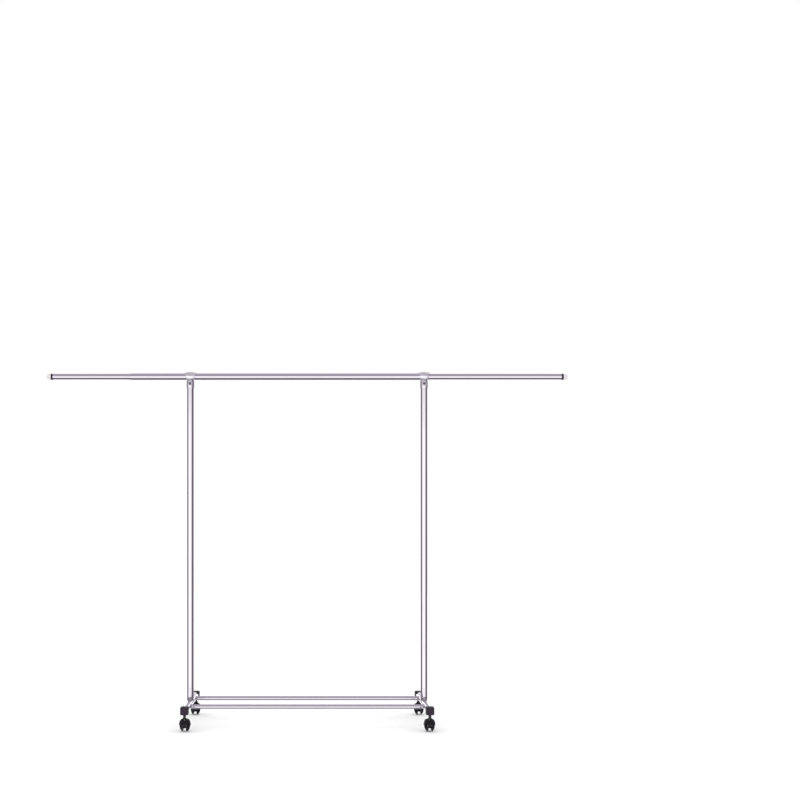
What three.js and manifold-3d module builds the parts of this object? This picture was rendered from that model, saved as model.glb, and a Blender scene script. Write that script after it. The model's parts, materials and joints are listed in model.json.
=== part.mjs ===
// Rolling clothes rack: a hanging bar with a sliding extension at each end, on two posts.
// Each post stands on a front-to-back foot with two swivelling twin-wheel casters, and two
// rails tie the feet together. Millimetres: +X along the bar to the right, +Y to the back,
// +Z up, floor at z = 0, origin midway between the tips and the feet.
import * as THREE from 'three';
import { mergeVertices } from 'three/addons/utils/BufferGeometryUtils.js';
import Module from 'manifold-3d';

const wasm = await Module();
wasm.setup();

// ---------------------------------------------------------------- driving dimensions

const SIDES = 20;                 // facets round a tube
const SMALL_SIDES = 12;           // facets round a screw, bolt or pin
const ARC_SIDES = 24;             // facets round the arc that trims a caster hood
const FIT = 0.3;                  // play between pieces that fit into or against each other
const PAST = 2;                   // how far a cut runs past what it cuts

// Overall layout
const HEIGHT = 1308.5;            // floor to the top of the connectors
const POST_SPACING = 872;         // between the two post axes
const FOOT_DEPTH = 430;           // front to back over the end blocks
const RAIL_SPACING = 210;         // between the two rail axes

// Tube stock
const TUBE_R = 12.5;              // main bar, posts and feet
const MAIN_WALL = 0.7;
const POST_WALL = 0.9;
const RAIL_R = 8;
const RAIL_WALL = 0.8;
const EXT_WALL = 0.8;
const SLIDE_PLAY = 0.8;           // radial room between the main tube and an extension

// Hanging bar
const MAIN_PAST_LEFT = 226;       // main tube beyond the left post axis
const MAIN_PAST_RIGHT = 18;       // main tube beyond the right post axis
const MOUTH_LENGTH = 15;          // narrowed stretch at each end of the main tube
const EXT_LENGTH = 507;
const EXT_HELD = 12;              // part of a fully drawn extension that stays in the mouth
const LEFT_DRAWN = 287;           // how far the left extension is drawn out; the right one is full
const GUIDE_LENGTH = 36;
const GUIDE_BORE_R = 6;
const SPIGOT_LENGTH = 24;         // depth of a plug's spigot in its tube
const RING_LENGTH = 6.7;
const DOME_LENGTH = 16.2;
const DOME_SQUARENESS = 2.5;      // 2 is an ellipse, higher is boxier

// T-connector
const HEAD_WALL = 5;              // metal over the top of the bar
const HEAD_HALF = 21.5;           // half length of the saddle along the bar
const HEAD_EDGE = 1.1;            // metal at the ends of the saddle
const WAIST_WALL = 0.4;           // saddle's narrow underside beyond the tube radius
const FLANK_FULLNESS = 0.82;      // share of the half length kept beside the bar axis
const FLANK_END = 0.75;           // share of the tube radius down to the waist
const CUP_WALL = 1.5;
const CUP_CHAMFER = 0.5;
const CUP_DROP = 42.5;            // bar axis to the cup's lower rim
const WEB = 6.2;                  // metal between the bar and the top of the post
const NECK_TAPER = 3;             // height over which the neck closes in to the waist
const POST_SCREW_DROP = 27;       // bar axis to the post screw
const SCREW_R = 3;
const SCREW_HEAD_R = 5.5;
const SCREW_HEAD_H = 3;
const SCREW_TIP = 4;              // screw tip inside the post's surface
const CROWN = [[0.6, 0.15], [0.92, 0.5]]; // radius and height shares down a button head
const BOSS_R = 7.5;
const BOSS_H = 2.5;
const RECESS = 1.8;               // how deep the screw head sits in its boss
const GRUB_R = 2.5;
const GRUB_SUNK = 0.8;            // outer end of the grub screw below the saddle's crown

// Foot, socket and rails
const SOCKET_HEIGHT = 50.5;       // foot axis to the joint with the post
const POST_SPIGOT_UP = 60;        // spigot above that joint
const POST_SPIGOT_CLEAR = 2;      // spigot's lower end above the foot tube
const BLOCK_DEPTH = 28;
const BLOCK_SIDE = 2;             // block beyond the tube, each side
const BLOCK_TOP = 1.5;            // block beyond the tube, above and below
const BLOCK_CORNER_R = 3;
const BLOCK_BEVEL = 1.2;
const BLOCK_ROOF = 5.5;           // plastic over the caster stem
const INSERT_LENGTH = 28;
const BOLT_R = 3;
const BOLT_HEAD_R = 5.5;
const BOLT_HEAD_H = 3.2;
const BOLT_SHORT = 4;             // bolt tip short of the insert's end

// Casters
const WHEEL_R = 20;
const WHEEL_GAP = 11.2;           // between the two wheels' inner faces
const WHEEL_WIDTH = 13.4;         // one wheel, inner face to the tip of its dome
const TREAD_WIDTH = 2.6;          // flat running band, next to the inner face
const WHEEL_CHAMFER = 0.6;        // inner edge of the running band
const WEB_PLAY = 0.7;             // between the hood's centre web and a wheel
const WHEEL_PLAY = 1;             // between a wheel and the hood round it
const TRAIL = 13;                 // stem axis to axle
const HOOD_WALL = 1.9;            // hood outside the wheel dome
const HOOD_REACH = 6.5;           // hood beyond the wheels, above and in front
const HOOD_SQUARENESS = 3;        // 2 is an ellipse, higher is boxier
const RIM_ARC_R = 45;             // side view arc of the hood's lower edge
const RIM_RISE = 3;               // lowest point of that edge above the axle
const HOOD_RISE = 8;              // top of the stem boss above the wheels
const STEM_BOSS_R = 8;
const STEM_BOSS_H = 14;
const WEB_R = 9.3;                // centre web round the axle
const WEB_RISE = 4;               // lower edge of the web's stem side above the axle
const PIN_WALL = 1.6;             // web in front of the stem's pin
const AXLE_R = 2.4;
const AXLE_IN_WHEEL = 10.4;
const AXLE_PLAY = 0.4;
const PIN_R = 3.4;                // stem inside the hood
const PIN_LENGTH = 14;
const NECK_R = 5;                 // stem between the hood and the block
const NECK_LENGTH = 13.5;

// ---------------------------------------------------------------- derived dimensions

const POST_X = POST_SPACING / 2;
const HEAD_R = TUBE_R + HEAD_WALL;
const BAR_Z = HEIGHT - HEAD_R;
const BORE_R = TUBE_R + FIT;
const CUP_R = BORE_R + CUP_WALL;
const WAIST_R = TUBE_R + WAIST_WALL;
const POST_BORE_DROP = BORE_R + WEB;

const EXT_R = TUBE_R - MAIN_WALL - SLIDE_PLAY;
const LIP_R = EXT_R + FIT;
const GUIDE_R = TUBE_R - MAIN_WALL - FIT;
const EXT_PLUG_R = EXT_R - EXT_WALL - FIT;
const RING_R = EXT_R + 2 * FIT;
const RIGHT_DRAWN = EXT_LENGTH - EXT_HELD;
const MAIN_LEFT_X = -(POST_X + MAIN_PAST_LEFT);
const MAIN_RIGHT_X = POST_X + MAIN_PAST_RIGHT;

const HOOD_R = WHEEL_R + HOOD_REACH;
const HOOD_TOP = 2 * WHEEL_R + HOOD_RISE;
const BLOCK_WIDTH = 2 * (TUBE_R + BLOCK_SIDE);
const BLOCK_HEIGHT = 2 * (TUBE_R + BLOCK_TOP);
const BLOCK_BOTTOM = HOOD_TOP + NECK_LENGTH;
const FOOT_Z = BLOCK_BOTTOM + BLOCK_HEIGHT / 2;
const JOINT_Z = FOOT_Z + SOCKET_HEIGHT;
const STEM_Y = FOOT_DEPTH / 2 - BLOCK_DEPTH / 2;
const STEM_TOP = BLOCK_BOTTOM + BLOCK_HEIGHT - BLOCK_ROOF;
const FOOT_TUBE_LENGTH = FOOT_DEPTH - 2 * BLOCK_DEPTH - 2 * FIT;
const FOOT_BORE_R = TUBE_R - POST_WALL;

const WHEEL_INNER = WHEEL_GAP / 2;
const WHEEL_OUTER = WHEEL_INNER + WHEEL_WIDTH;
const WEB_HALF = WHEEL_INNER - WEB_PLAY;
const HOOD_HALF = WHEEL_OUTER + HOOD_WALL;

// ---------------------------------------------------------------- materials

const metal = (color, roughness) =>
  new THREE.MeshStandardMaterial({ color, roughness, metalness: 1 });
const plastic = (color, roughness) =>
  new THREE.MeshStandardMaterial({ color, roughness, metalness: 0 });

const polishedSteel = () => metal(0xcac6cd, 0.12);
const chrome = () => metal(0xd6d3d8, 0.08);
const blackScrew = () => metal(0x2a272c, 0.4);
const zincSteel = () => metal(0xa9a8ab, 0.35);
const blackBlock = () => plastic(0x2e2832, 0.45);
const blackCaster = () => plastic(0x141216, 0.35);
const blackRubber = () => plastic(0x1c1a1d, 0.6);
const whitePlug = () => plastic(0xe9e7ea, 0.4);
const greyGuide = () => plastic(0x8c8a8f, 0.55);

// ---------------------------------------------------------------- shape helpers

// A closed three.js geometry as a solid that can be joined and cut.
function solidOf(geometry) {
  geometry.deleteAttribute('normal');
  geometry.deleteAttribute('uv');
  const merged = mergeVertices(geometry, 1e-4);
  const index = merged.index.array;
  const triangles = [];
  for (let i = 0; i < index.length; i += 3) {
    const [a, b, c] = [index[i], index[i + 1], index[i + 2]];
    if (a !== b && b !== c && c !== a) triangles.push(a, b, c);
  }
  return new wasm.Manifold(new wasm.Mesh({
    numProp: 3,
    vertProperties: new Float32Array(merged.attributes.position.array),
    triVerts: new Uint32Array(triangles),
  }));
}

function geometryOf(solid) {
  const { vertProperties, triVerts } = solid.getMesh();
  const geometry = new THREE.BufferGeometry();
  geometry.setAttribute('position', new THREE.BufferAttribute(vertProperties, 3));
  geometry.setIndex(new THREE.BufferAttribute(triVerts, 1));
  geometry.computeVertexNormals();
  return geometry;
}

// Turned shape: profile is [radius, distance along the axis], counter-clockwise.
// flats puts a facet, not an edge, at the top and bottom of a shape that lies on its side.
function turned(axis, profile, sides = SIDES, flats = false) {
  const points = profile.map(([r, along]) => new THREE.Vector2(r, along));
  const geometry = new THREE.LatheGeometry(points, sides, flats ? Math.PI / sides : 0);
  if (axis === 'z') geometry.rotateX(Math.PI / 2);
  if (axis === 'x') geometry.rotateZ(-Math.PI / 2);
  return geometry;
}

function ring(axis, outer, inner, from, to, sides = SIDES) {
  return turned(axis, [[inner, from], [outer, from], [outer, to], [inner, to], [inner, from]], sides);
}

function rod(axis, r, from, to, sides = SIDES) {
  return turned(axis, [[0, from], [r, from], [r, to], [0, to]], sides);
}

// An outline in the X-Z plane made solid from y = -depth / 2 to depth / 2.
function slab(shape, depth, bevel = 0) {
  const geometry = new THREE.ExtrudeGeometry(shape, {
    depth: depth - 2 * bevel,
    bevelEnabled: bevel > 0,
    bevelThickness: bevel,
    bevelSize: bevel,
    bevelOffset: -bevel,
    bevelSegments: 1,
    curveSegments: 2,
  });
  geometry.translate(0, 0, bevel - depth / 2);
  geometry.rotateX(Math.PI / 2);
  return geometry;
}

function roundedRectangle(width, height, r) {
  const [x, y] = [width / 2, height / 2];
  const shape = new THREE.Shape();
  shape.moveTo(-x + r, -y);
  shape.lineTo(x - r, -y);
  shape.absarc(x - r, -y + r, r, -Math.PI / 2, 0);
  shape.lineTo(x, y - r);
  shape.absarc(x - r, y - r, r, 0, Math.PI / 2);
  shape.lineTo(-x + r, y);
  shape.absarc(-x + r, y - r, r, Math.PI / 2, Math.PI);
  shape.lineTo(-x, -y + r);
  shape.absarc(-x + r, -y + r, r, Math.PI, 1.5 * Math.PI);
  return shape;
}

// Quarter of an ellipse from (0, height) to (width, 0), as steps + 1 points.
function quarterArc(width, height, steps, squareness = 2) {
  const points = [];
  for (let i = 0; i <= steps; i += 1) {
    const angle = (i / steps) * Math.PI / 2;
    points.push([
      width * Math.sin(angle) ** (2 / squareness),
      height * Math.cos(angle) ** (2 / squareness),
    ]);
  }
  points[0][0] = 0;
  points[steps][1] = 0;
  return points;
}

function add(parent, name, shape, material, position = [0, 0, 0], turn = 0) {
  const geometry = geometryOf(shape.getMesh ? shape : solidOf(shape));
  const mesh = new THREE.Mesh(geometry, material);
  mesh.name = name;
  mesh.position.set(...position);
  mesh.rotation.z = turn;
  parent.add(mesh);
}

// ---------------------------------------------------------------- hanging bar

// Plain tube whose two mouths are drawn in, so that the guides can't leave it.
function mainTube() {
  const bore = TUBE_R - MAIN_WALL;
  const lipOuter = LIP_R + MAIN_WALL;
  const [a, b] = [MAIN_LEFT_X, MAIN_RIGHT_X];
  return turned('x', [
    [LIP_R, a], [lipOuter, a], [TUBE_R, a + MOUTH_LENGTH], [TUBE_R, b - MOUTH_LENGTH],
    [lipOuter, b], [LIP_R, b], [bore, b - MOUTH_LENGTH], [bore, a + MOUTH_LENGTH], [LIP_R, a],
  ]);
}

// The pieces of an extension run along +X from the outer end of its tube at x = 0.
function extensionTube() {
  return ring('x', EXT_R, EXT_R - EXT_WALL, -EXT_LENGTH, 0);
}

function endRing() {
  return ring('x', RING_R, EXT_PLUG_R + FIT, FIT, FIT + RING_LENGTH);
}

function endPlug() {
  const seat = RING_LENGTH + 2 * FIT;
  const dome = quarterArc(DOME_LENGTH, RING_R, 5, DOME_SQUARENESS).map(([along, r]) => [r, seat + along]);
  return turned('x', [[0, -SPIGOT_LENGTH], [EXT_PLUG_R, -SPIGOT_LENGTH], [EXT_PLUG_R, seat], ...dome]);
}

function guidePlug() {
  const [inner, face] = [-EXT_LENGTH - GUIDE_LENGTH, -EXT_LENGTH - FIT];
  const spigotEnd = -EXT_LENGTH + SPIGOT_LENGTH;
  return turned('x', [
    [GUIDE_BORE_R, inner], [GUIDE_R, inner], [GUIDE_R, face], [EXT_PLUG_R, face],
    [EXT_PLUG_R, spigotEnd], [GUIDE_BORE_R, spigotEnd], [GUIDE_BORE_R, inner],
  ]);
}

function addExtension(rack, side, tubeEnd, turn) {
  const place = [tubeEnd, 0, BAR_Z];
  add(rack, `extension_tube_${side}`, extensionTube(), polishedSteel(), place, turn);
  add(rack, `end_ring_${side}`, endRing(), blackRubber(), place, turn);
  add(rack, `end_plug_${side}`, endPlug(), whitePlug(), place, turn);
  add(rack, `guide_plug_${side}`, guidePlug(), greyGuide(), place, turn);
}

// ---------------------------------------------------------------- T-connector

// Crowned barrel over the bar, trimmed so that it is long on top and narrow underneath.
function saddle() {
  const edge = BORE_R + HEAD_EDGE;
  const steps = 6;
  const crown = [];
  for (let i = 0; i <= steps; i += 1) {
    const x = HEAD_HALF * (2 * i / steps - 1);
    crown.push([edge + (HEAD_R - edge) * Math.sqrt(1 - (x / HEAD_HALF) ** 2), x]);
  }
  const barrel = turned('x', [[0, -HEAD_HALF], ...crown, [0, HEAD_HALF]]);
  const [top, bottom, end] = [HEAD_R + PAST, -HEAD_R - PAST, HEAD_HALF + 1];
  const [flank, waistTop] = [FLANK_FULLNESS * HEAD_HALF, -FLANK_END * TUBE_R];
  const outline = new THREE.Shape();
  outline.moveTo(-end, top);
  outline.lineTo(-end, TUBE_R);
  outline.quadraticCurveTo(-flank, 0, -WAIST_R, waistTop);
  outline.lineTo(-WAIST_R, bottom);
  outline.lineTo(WAIST_R, bottom);
  outline.lineTo(WAIST_R, waistTop);
  outline.quadraticCurveTo(flank, 0, end, TUBE_R);
  outline.lineTo(end, top);
  return solidOf(barrel).intersect(solidOf(slab(outline, 2 * (HEAD_R + PAST))));
}

// The bar runs through the saddle, the post stands in the cup. Origin on the bar axis.
function connector() {
  const shoulder = -POST_BORE_DROP;
  const neck = turned('z', [
    [0, -CUP_DROP], [CUP_R - CUP_CHAMFER, -CUP_DROP], [CUP_R, -CUP_DROP + CUP_CHAMFER],
    [CUP_R, shoulder], [WAIST_R + CUP_CHAMFER, shoulder + WEB],
    [WAIST_R, shoulder + WEB + NECK_TAPER], [WAIST_R, 0], [0, 0],
  ]);
  const bossFace = -CUP_R - BOSS_H;
  const boss = rod('y', BOSS_R, bossFace, -BORE_R).translate(0, 0, -POST_SCREW_DROP);
  const cuts = [
    rod('x', BORE_R, -HEAD_HALF - PAST, HEAD_HALF + PAST),
    rod('z', BORE_R, -CUP_DROP - PAST, shoulder),
    rod('y', SCREW_HEAD_R + FIT, bossFace - PAST, bossFace + RECESS)
      .translate(0, 0, -POST_SCREW_DROP),
    rod('y', SCREW_R + FIT, bossFace - PAST, 0, SMALL_SIDES).translate(0, 0, -POST_SCREW_DROP),
    rod('y', GRUB_R + FIT, 0, HEAD_R + PAST, SMALL_SIDES),
  ];
  const body = saddle().add(solidOf(neck)).add(solidOf(boss));
  return cuts.reduce((rest, cut) => rest.subtract(solidOf(cut)), body);
}

// Button-head screw whose head rises from seat towards the axis' negative end.
function buttonHead(axis, headR, headHeight, seat, shankR, tip) {
  const top = seat - headHeight;
  const crown = CROWN.map(([r, down]) => [r * headR, top + down * headHeight]);
  return turned(axis, [
    [0, top], ...crown, [headR, seat], [shankR, seat], [shankR, tip], [0, tip],
  ], SMALL_SIDES);
}

// From the front, through the boss into the post.
function postScrew() {
  const seat = -CUP_R - BOSS_H + RECESS - FIT;
  return buttonHead('y', SCREW_HEAD_R, SCREW_HEAD_H, seat, SCREW_R, -TUBE_R + SCREW_TIP);
}

function addConnector(rack, side, x) {
  add(rack, `connector_${side}`, connector(), chrome(), [x, 0, BAR_Z]);
  add(rack, `post_screw_${side}`, postScrew(), blackScrew(), [x, 0, BAR_Z - POST_SCREW_DROP]);
  add(rack, `bar_screw_${side}`, rod('y', GRUB_R, BORE_R, HEAD_R - GRUB_SUNK, SMALL_SIDES),
    zincSteel(), [x, 0, BAR_Z]);
}

// ---------------------------------------------------------------- posts and feet

function post() {
  const top = BAR_Z - POST_BORE_DROP - FIT;
  const tube = solidOf(ring('z', TUBE_R, FOOT_BORE_R, JOINT_Z + FIT / 2, top));
  const screwHole = rod('y', SCREW_R + FIT, -TUBE_R - PAST, 0, SMALL_SIDES);
  return tube.subtract(solidOf(screwHole.translate(0, 0, BAR_Z - POST_SCREW_DROP)));
}

function postSpigot() {
  const outer = FOOT_BORE_R - FIT;
  const foot = FOOT_Z + TUBE_R + POST_SPIGOT_CLEAR;
  return ring('z', outer, outer - POST_WALL, foot, JOINT_Z + POST_SPIGOT_UP);
}

// Short upright, its lower end shaped to sit on the foot tube.
function postSocket() {
  const tube = ring('z', TUBE_R, FOOT_BORE_R, FOOT_Z, JOINT_Z - FIT / 2);
  const saddleCut = rod('y', BORE_R, -2 * TUBE_R, 2 * TUBE_R).translate(0, 0, FOOT_Z);
  return solidOf(tube).subtract(solidOf(saddleCut));
}

// Origin at the middle of the foot, on its axis.
function footTube() {
  const half = FOOT_TUBE_LENGTH / 2;
  let tube = solidOf(ring('y', TUBE_R, FOOT_BORE_R, -half, half));
  for (const y of [-RAIL_SPACING / 2, RAIL_SPACING / 2]) {
    const hole = rod('x', BOLT_R + FIT, -2 * TUBE_R, 2 * TUBE_R, SMALL_SIDES).translate(0, y, 0);
    tube = tube.subtract(solidOf(hole));
  }
  return tube;
}

// Front block: flat outer face towards -Y, spigot in the foot tube, blind hole for the stem.
// Origin at the middle of the block.
function endBlock() {
  const half = BLOCK_DEPTH / 2;
  const outline = roundedRectangle(BLOCK_WIDTH, BLOCK_HEIGHT, BLOCK_CORNER_R);
  const body = solidOf(slab(outline, BLOCK_DEPTH, BLOCK_BEVEL));
  const spigot = rod('y', FOOT_BORE_R - FIT, 0, half + SPIGOT_LENGTH);
  const stemHole = rod('z', NECK_R + FIT, -BLOCK_HEIGHT, BLOCK_HEIGHT / 2 - BLOCK_ROOF + FIT);
  return body.add(solidOf(spigot)).subtract(solidOf(stemHole));
}

function addFoot(rack, side, x) {
  add(rack, `post_${side}`, post(), polishedSteel(), [x, 0, 0]);
  add(rack, `post_spigot_${side}`, postSpigot(), zincSteel(), [x, 0, 0]);
  add(rack, `post_socket_${side}`, postSocket(), polishedSteel(), [x, 0, 0]);
  add(rack, `foot_tube_${side}`, footTube(), polishedSteel(), [x, 0, FOOT_Z]);
}

// ---------------------------------------------------------------- rails

// Tube between the feet, both ends shaped to the foot tubes.
function rail() {
  let tube = solidOf(ring('x', RAIL_R, RAIL_R - RAIL_WALL, -POST_X, POST_X));
  for (const x of [-POST_X, POST_X]) {
    const foot = rod('y', BORE_R, -2 * RAIL_R, 2 * RAIL_R).translate(x, 0, 0);
    tube = tube.subtract(solidOf(foot));
  }
  return tube;
}

// Fastenings of a left-hand rail end, running along +X from the foot axis at x = 0.
function railInsert() {
  const start = BORE_R + FIT;
  return ring('x', RAIL_R - RAIL_WALL - FIT, BOLT_R + FIT, start, start + INSERT_LENGTH, SMALL_SIDES);
}

function railBolt() {
  const tip = BORE_R + INSERT_LENGTH - BOLT_SHORT;
  return buttonHead('x', BOLT_HEAD_R, BOLT_HEAD_H, -TUBE_R - FIT, BOLT_R, tip);
}

// ---------------------------------------------------------------- casters

// Wheel to the right of the axle's middle. Its facets keep the axle WHEEL_R above the floor.
function wheel() {
  const r = WHEEL_R / Math.cos(Math.PI / SIDES);
  const bore = AXLE_R + AXLE_PLAY;
  const boreEnd = WHEEL_INNER + AXLE_IN_WHEEL + FIT;
  const treadEnd = WHEEL_INNER + TREAD_WIDTH;
  const dome = quarterArc(WHEEL_OUTER - treadEnd, r, 4)
    .map(([along, height]) => [height, treadEnd + along]);
  return turned('x', [
    [0, boreEnd], [bore, boreEnd], [bore, WHEEL_INNER], [r - WHEEL_CHAMFER, WHEEL_INNER],
    [r, WHEEL_INNER + WHEEL_CHAMFER], ...dome,
  ], SIDES, true);
}

// Space that a wheel and its play take out of the hood, on the right.
function wheelRoom() {
  const r = WHEEL_R / Math.cos(Math.PI / SIDES) + WHEEL_PLAY;
  const treadEnd = WHEEL_INNER + TREAD_WIDTH;
  const dome = quarterArc(WHEEL_OUTER + WHEEL_PLAY - treadEnd, r, 4)
    .map(([along, height]) => [height, treadEnd + along]);
  return turned('x', [[0, WEB_HALF], [r, WEB_HALF], ...dome], SIDES, true);
}

// Fender over both wheels, on a centre web that holds the axle and turns on the stem.
// Origin on the axle, the stem at y = -TRAIL.
function hood() {
  const right = quarterArc(HOOD_HALF, HOOD_R, 4, HOOD_SQUARENESS).map(([along, r]) => [r, along]);
  const left = right.slice(1).reverse().map(([r, along]) => [r, -along]);
  const shell = solidOf(turned('x', [...left, ...right], SIDES, true));
  const rimArc = rod('x', RIM_ARC_R, -2 * HOOD_HALF, 2 * HOOD_HALF, ARC_SIDES);
  const fender = shell.intersect(solidOf(rimArc.translate(0, 0, RIM_RISE + RIM_ARC_R)));
  const room = solidOf(wheelRoom());
  const otherRoom = solidOf(wheelRoom().rotateZ(Math.PI));
  const web = solidOf(rod('x', WEB_R, -WEB_HALF, WEB_HALF));
  const [webFront, webBack] = [-TRAIL - PIN_R - PIN_WALL, WEB_R];
  const upright = new THREE.BoxGeometry(2 * WEB_HALF, webBack - webFront, WHEEL_R - WEB_RISE);
  upright.translate(0, (webFront + webBack) / 2, (WHEEL_R + WEB_RISE) / 2);
  const stemBossTop = HOOD_TOP - WHEEL_R;
  const stemBoss = rod('z', STEM_BOSS_R, stemBossTop - STEM_BOSS_H, stemBossTop)
    .translate(0, -TRAIL, 0);
  const pinEnd = stemBossTop - PIN_LENGTH - FIT;
  const pinHole = rod('z', PIN_R + FIT, pinEnd, stemBossTop + PAST, SMALL_SIDES);
  const axleHole = rod('x', AXLE_R + FIT, -2 * WEB_HALF, 2 * WEB_HALF, SMALL_SIDES);
  return fender
    .add(solidOf(stemBoss))
    .subtract(room)
    .subtract(otherRoom)
    .add(web)
    .add(solidOf(upright))
    .subtract(solidOf(pinHole.translate(0, -TRAIL, 0)))
    .subtract(solidOf(axleHole));
}

function stem() {
  const shoulder = HOOD_TOP + FIT;
  return turned('z', [
    [0, HOOD_TOP - PIN_LENGTH], [PIN_R, HOOD_TOP - PIN_LENGTH], [PIN_R, shoulder],
    [NECK_R, shoulder], [NECK_R, STEM_TOP], [0, STEM_TOP],
  ]);
}

// A caster trails towards the middle of its foot; turn is 0 in front and half a turn behind.
function addCaster(rack, corner, x, y, turn) {
  const caster = new THREE.Group();
  caster.position.set(x, y, 0);
  caster.rotation.z = turn;
  rack.add(caster);
  const axle = [0, TRAIL, WHEEL_R];
  const reach = WHEEL_INNER + AXLE_IN_WHEEL;
  add(caster, `caster_stem_${corner}`, stem(), blackScrew());
  add(caster, `caster_hood_${corner}`, hood(), blackCaster(), axle);
  add(caster, `caster_axle_${corner}`, rod('x', AXLE_R, -reach, reach, SMALL_SIDES), zincSteel(), axle);
  const [rightTurn, leftTurn] = turn === 0 ? [0, Math.PI] : [Math.PI, 0];
  add(caster, `wheel_right_${corner}`, wheel(), blackCaster(), axle, rightTurn);
  add(caster, `wheel_left_${corner}`, wheel(), blackCaster(), axle, leftTurn);
}

// ---------------------------------------------------------------- the rack

const rack = new THREE.Group();
rack.name = 'rolling_clothes_rack';

add(rack, 'main_bar_tube', mainTube(), polishedSteel(), [0, 0, BAR_Z]);
addExtension(rack, 'left', MAIN_LEFT_X - LEFT_DRAWN, Math.PI);
addExtension(rack, 'right', MAIN_RIGHT_X + RIGHT_DRAWN, 0);

for (const [side, x] of [['left', -POST_X], ['right', POST_X]]) {
  addConnector(rack, side, x);
  addFoot(rack, side, x);
}

for (const [place, way] of [['front', -1], ['rear', 1]]) {
  const railY = way * RAIL_SPACING / 2;
  const facing = way < 0 ? 0 : Math.PI;
  add(rack, `rail_${place}`, rail(), polishedSteel(), [0, railY, FOOT_Z]);
  for (const [side, x] of [['left', -POST_X], ['right', POST_X]]) {
    const corner = `${place}_${side}`;
    const inward = x < 0 ? 0 : Math.PI;
    add(rack, `end_block_${corner}`, endBlock(), blackBlock(), [x, way * STEM_Y, FOOT_Z], facing);
    add(rack, `rail_insert_${corner}`, railInsert(), greyGuide(), [x, railY, FOOT_Z], inward);
    add(rack, `rail_bolt_${corner}`, railBolt(), zincSteel(), [x, railY, FOOT_Z], inward);
    addCaster(rack, corner, x, way * STEM_Y, facing);
  }
}

export default rack;
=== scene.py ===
import json
import math

import bmesh
import bpy
from bpy.props import FloatProperty, FloatVectorProperty, IntProperty, PointerProperty
from bpy.types import Operator, Panel, PropertyGroup
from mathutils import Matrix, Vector


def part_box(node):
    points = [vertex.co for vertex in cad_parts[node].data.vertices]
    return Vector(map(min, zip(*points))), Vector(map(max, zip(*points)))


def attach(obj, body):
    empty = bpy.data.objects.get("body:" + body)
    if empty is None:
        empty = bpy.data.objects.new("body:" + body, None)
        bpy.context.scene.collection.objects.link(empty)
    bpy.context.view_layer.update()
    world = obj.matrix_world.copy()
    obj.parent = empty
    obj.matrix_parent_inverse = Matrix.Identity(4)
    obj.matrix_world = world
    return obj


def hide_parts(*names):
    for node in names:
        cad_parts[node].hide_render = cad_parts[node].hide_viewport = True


bl_info = {
    "name": "Rolling Clothes Rack",
    "version": (1, 0, 0),
    "blender": (4, 5, 0),
    "location": "3D View > Sidebar > Clothes Rack",
    "description": "Chromed tubes, cast connectors, casters and studio of a rolling clothes rack",
    "category": "Add Mesh",
}

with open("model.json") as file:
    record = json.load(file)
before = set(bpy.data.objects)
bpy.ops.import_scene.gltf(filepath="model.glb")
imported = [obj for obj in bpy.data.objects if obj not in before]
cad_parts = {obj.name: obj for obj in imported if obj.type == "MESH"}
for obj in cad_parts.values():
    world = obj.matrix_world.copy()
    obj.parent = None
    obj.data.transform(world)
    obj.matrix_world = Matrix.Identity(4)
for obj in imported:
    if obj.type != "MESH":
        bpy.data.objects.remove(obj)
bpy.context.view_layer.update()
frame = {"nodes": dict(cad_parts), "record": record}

MM = 0.001
SIDES = (("left", -1), ("right", 1))
ENDS = (("front", -1), ("rear", 1))
CORNERS = [f"{end}_{side}" for end, _ in ENDS for side, _ in SIDES]
BODY_OF = {
    node: body
    for body, nodes in frame["record"]["behaviour"]["bodies"].items()
    for node in nodes
}
# For each axis: two directions across it, then the direction along it.
AXES = {
    "x": (Vector((0, 1, 0)), Vector((0, 0, 1)), Vector((1, 0, 0))),
    "y": (Vector((0, 0, 1)), Vector((1, 0, 0)), Vector((0, 1, 0))),
    "z": (Vector((1, 0, 0)), Vector((0, 1, 0)), Vector((0, 0, 1))),
}
PAST = 2 * MM                     # how far a cut runs past what it cuts
SUNK = 0.15 * MM                  # how far a weld's edge sinks into the tube under it
SHARP = math.radians(34)          # edges folded more than this stay crisp
HOLD = 1 * MM                     # loop beside a rounded edge, keeps long faces shaded flat
LIP = 0.35                        # radius of a tube's broken edge, as a share of its wall
BLOCK_COLLAR = 1.2 * MM           # how far an end block's own collar stands below it
LAMP_LIT = "lit_by_front_lamp"    # collection of what the front lamp lights
# Facets round castings, their bosses, pins and bolts, grub screws, and the hood's lower edge.
CASTING_FACETS, BOSS_FACETS, PIN_FACETS, GRUB_FACETS, RIM_FACETS = 96, 64, 48, 32, 160
HEXAGON = 6
# Rows of a weld, from its tube to its toe: share of its spread, share of its length.
WELD_STEPS = 8
WELD_TURNS = [math.pi / 2 * i / WELD_STEPS for i in range(WELD_STEPS + 1)]
WELD = [(1 - math.cos(turn), math.sin(turn)) for turn in WELD_TURNS]
BARE_STEEL = (0.20, 0.19, 0.195, 1)
DUST = (0.30, 0.29, 0.295, 1)
# Each moulded colour's finish: name, roughness, shine, grain, relief, dust, lift of its edges.
MOULDED = {
    "block": ("Block Plastic", 0.42, 0.28, 1700.0, 0.30, 0.10, 2.4),
    "caster": ("Caster Nylon", 0.15, 0.16, 900.0, 0.05, 0.02, 4.0),
    "rubber": ("Ring Rubber", 0.34, 0.4, 1300.0, 0.14, 0.05, 2.2),
    "plug": ("Plug Plastic", 0.34, 0.5, 800.0, 0.05, 0.04, 1.05),
    "guide": ("Guide Plastic", 0.50, 0.5, 1200.0, 0.15, 0.0, 1.3),
}


# ------------------------------------------------------------------ settings


def length(name, description, default):
    return FloatProperty(
        name=name, description=description, default=default, min=0.0, unit="LENGTH", precision=5
    )


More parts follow.
